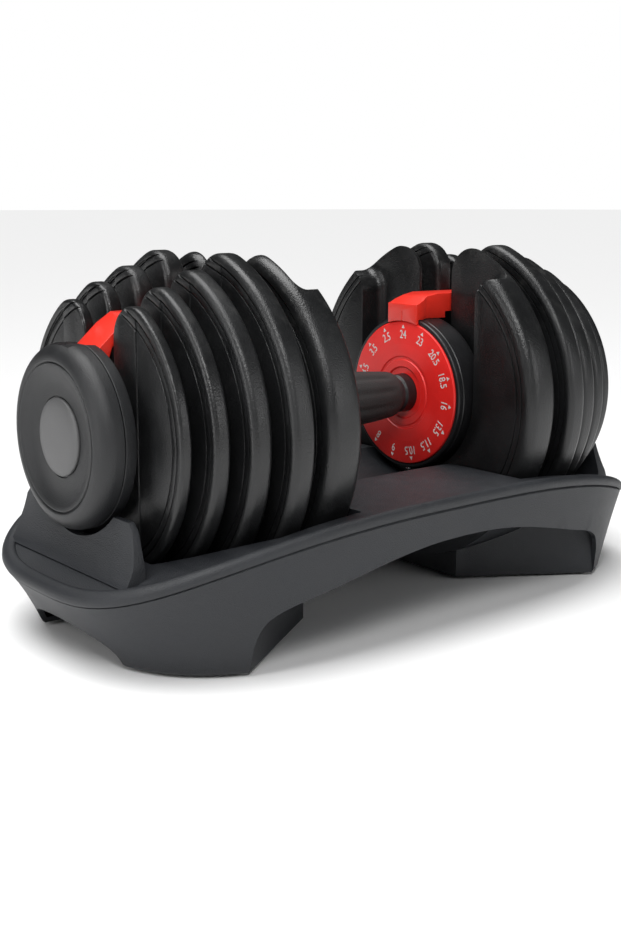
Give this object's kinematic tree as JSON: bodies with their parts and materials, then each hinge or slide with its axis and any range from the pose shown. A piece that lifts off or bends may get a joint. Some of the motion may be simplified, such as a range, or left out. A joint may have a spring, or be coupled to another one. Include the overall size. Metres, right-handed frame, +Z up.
{
  "type": "adjustable dumbbell",
  "caption": "Dial-select adjustable dumbbell with slotted weight plates, locking selector discs and a curved storage tray.",
  "frame": {"origin": "middle of the footprint, on the surface the tray stands on", "axes": "+X along the handle, towards the right-hand dial knob; +Y to the rear; +Z up"},
  "size_m": [0.4278, 0.2314, 0.2173],
  "materials": {
    "plate_coat": "satin black coating over iron",
    "base_plastic": "fine textured",
    "knob_plastic": "satin moulded",
    "cap_plastic": "grey satin",
    "bridge_plastic": "semi-gloss red",
    "dial_plastic": "satin red with white marks",
    "grip_rubber": "matte",
    "housing_plastic": "satin",
    "disc_nylon": "moulded nylon",
    "axle_steel": "turned",
    "foot_rubber": "matte"
  },
  "bodies": {
    "tray": {"base_tray": "base_plastic", "base_shell": "base_plastic", "left_front_foot": "foot_rubber", "left_rear_foot": "foot_rubber", "right_front_foot": "foot_rubber", "right_rear_foot": "foot_rubber", "left_release_post": "housing_plastic", "right_release_post": "housing_plastic"},
    "handle": {"axle_rod": "axle_steel", "grip_sleeve": "grip_rubber", "left_collar": "housing_plastic", "left_housing": "housing_plastic", "left_bridge": "bridge_plastic", "left_end_plate": "axle_steel", "left_bridge_screw": "axle_steel", "left_axle_nut": "axle_steel", "left_lock_guide": "housing_plastic", "left_lock_spring": "axle_steel", "right_collar": "housing_plastic", "right_housing": "housing_plastic", "right_bridge": "bridge_plastic", "right_end_plate": "axle_steel", "right_bridge_screw": "axle_steel", "right_axle_nut": "axle_steel", "right_lock_guide": "housing_plastic", "right_lock_spring": "axle_steel"},
    "left_selector": {"left_dial": "dial_plastic", "left_selector_sleeve": "axle_steel", "left_knob_skirt": "knob_plastic", "left_knob_shell": "knob_plastic", "left_knob_cap": "cap_plastic", "left_selector_disc_1": "disc_nylon", "left_selector_disc_2": "disc_nylon", "left_selector_disc_3": "disc_nylon", "left_selector_disc_4": "disc_nylon", "left_selector_disc_5": "disc_nylon"},
    "left_pin": {"left_lock_pin": "axle_steel"},
    "left_weight_1": {"left_plate_1": "plate_coat"},
    "left_weight_2": {"left_plate_2": "plate_coat"},
    "left_weight_3": {"left_plate_3": "plate_coat"},
    "left_weight_4": {"left_plate_4": "plate_coat"},
    "left_weight_5": {"left_plate_5": "plate_coat"},
    "right_selector": {"right_dial": "dial_plastic", "right_selector_sleeve": "axle_steel", "right_knob_skirt": "knob_plastic", "right_knob_shell": "knob_plastic", "right_knob_cap": "cap_plastic", "right_selector_disc_1": "disc_nylon", "right_selector_disc_2": "disc_nylon", "right_selector_disc_3": "disc_nylon", "right_selector_disc_4": "disc_nylon", "right_selector_disc_5": "disc_nylon"},
    "right_pin": {"right_lock_pin": "axle_steel"},
    "right_weight_1": {"right_plate_1": "plate_coat"},
    "right_weight_2": {"right_plate_2": "plate_coat"},
    "right_weight_3": {"right_plate_3": "plate_coat"},
    "right_weight_4": {"right_plate_4": "plate_coat"},
    "right_weight_5": {"right_plate_5": "plate_coat"}
  },
  "joints": [
    {"name": "lift", "type": "slide", "parent": "tray", "child": "handle", "axis": [0, 0, 1], "range_m": [0, 0.15]},
    {"name": "left_turn", "type": "hinge", "parent": "handle", "child": "left_selector", "pos_m": [-0.12, 0, 0.12], "axis": [1, 0, 0], "continuous": true},
    {"name": "left_pin_drop", "type": "slide", "parent": "handle", "child": "left_pin", "axis": [0, 0, 1], "range_m": [-0.004, 0]},
    {"name": "left_weight_1_lift", "type": "slide", "parent": "tray", "child": "left_weight_1", "axis": [0, 0, 1], "range_m": [0, 0.15]},
    {"name": "left_weight_2_lift", "type": "slide", "parent": "tray", "child": "left_weight_2", "axis": [0, 0, 1], "range_m": [0, 0.15]},
    {"name": "left_weight_3_lift", "type": "slide", "parent": "tray", "child": "left_weight_3", "axis": [0, 0, 1], "range_m": [0, 0.15]},
    {"name": "left_weight_4_lift", "type": "slide", "parent": "tray", "child": "left_weight_4", "axis": [0, 0, 1], "range_m": [0, 0.15]},
    {"name": "left_weight_5_lift", "type": "slide", "parent": "tray", "child": "left_weight_5", "axis": [0, 0, 1], "range_m": [0, 0.15]},
    {"name": "right_turn", "type": "hinge", "parent": "handle", "child": "right_selector", "pos_m": [0.12, 0, 0.12], "axis": [1, 0, 0], "continuous": true},
    {"name": "right_pin_drop", "type": "slide", "parent": "handle", "child": "right_pin", "axis": [0, 0, 1], "range_m": [-0.004, 0]},
    {"name": "right_weight_1_lift", "type": "slide", "parent": "tray", "child": "right_weight_1", "axis": [0, 0, 1], "range_m": [0, 0.15]},
    {"name": "right_weight_2_lift", "type": "slide", "parent": "tray", "child": "right_weight_2", "axis": [0, 0, 1], "range_m": [0, 0.15]},
    {"name": "right_weight_3_lift", "type": "slide", "parent": "tray", "child": "right_weight_3", "axis": [0, 0, 1], "range_m": [0, 0.15]},
    {"name": "right_weight_4_lift", "type": "slide", "parent": "tray", "child": "right_weight_4", "axis": [0, 0, 1], "range_m": [0, 0.15]},
    {"name": "right_weight_5_lift", "type": "slide", "parent": "tray", "child": "right_weight_5", "axis": [0, 0, 1], "range_m": [0, 0.15]}
  ],
  "couplings": [
    {"joint": "left_pin_drop", "follows": "lift", "ratio": -0.026667},
    {"joint": "left_weight_1_lift", "follows": "lift", "ratio": 1},
    {"joint": "left_weight_2_lift", "follows": "lift", "ratio": 1},
    {"joint": "left_weight_3_lift", "follows": "lift", "ratio": 1},
    {"joint": "left_weight_4_lift", "follows": "lift", "ratio": 1},
    {"joint": "left_weight_5_lift", "follows": "lift", "ratio": 1},
    {"joint": "right_pin_drop", "follows": "lift", "ratio": -0.026667},
    {"joint": "right_weight_1_lift", "follows": "lift", "ratio": 1},
    {"joint": "right_weight_2_lift", "follows": "lift", "ratio": 1},
    {"joint": "right_weight_3_lift", "follows": "lift", "ratio": 1},
    {"joint": "right_weight_4_lift", "follows": "lift", "ratio": 1},
    {"joint": "right_weight_5_lift", "follows": "lift", "ratio": 1}
  ]
}
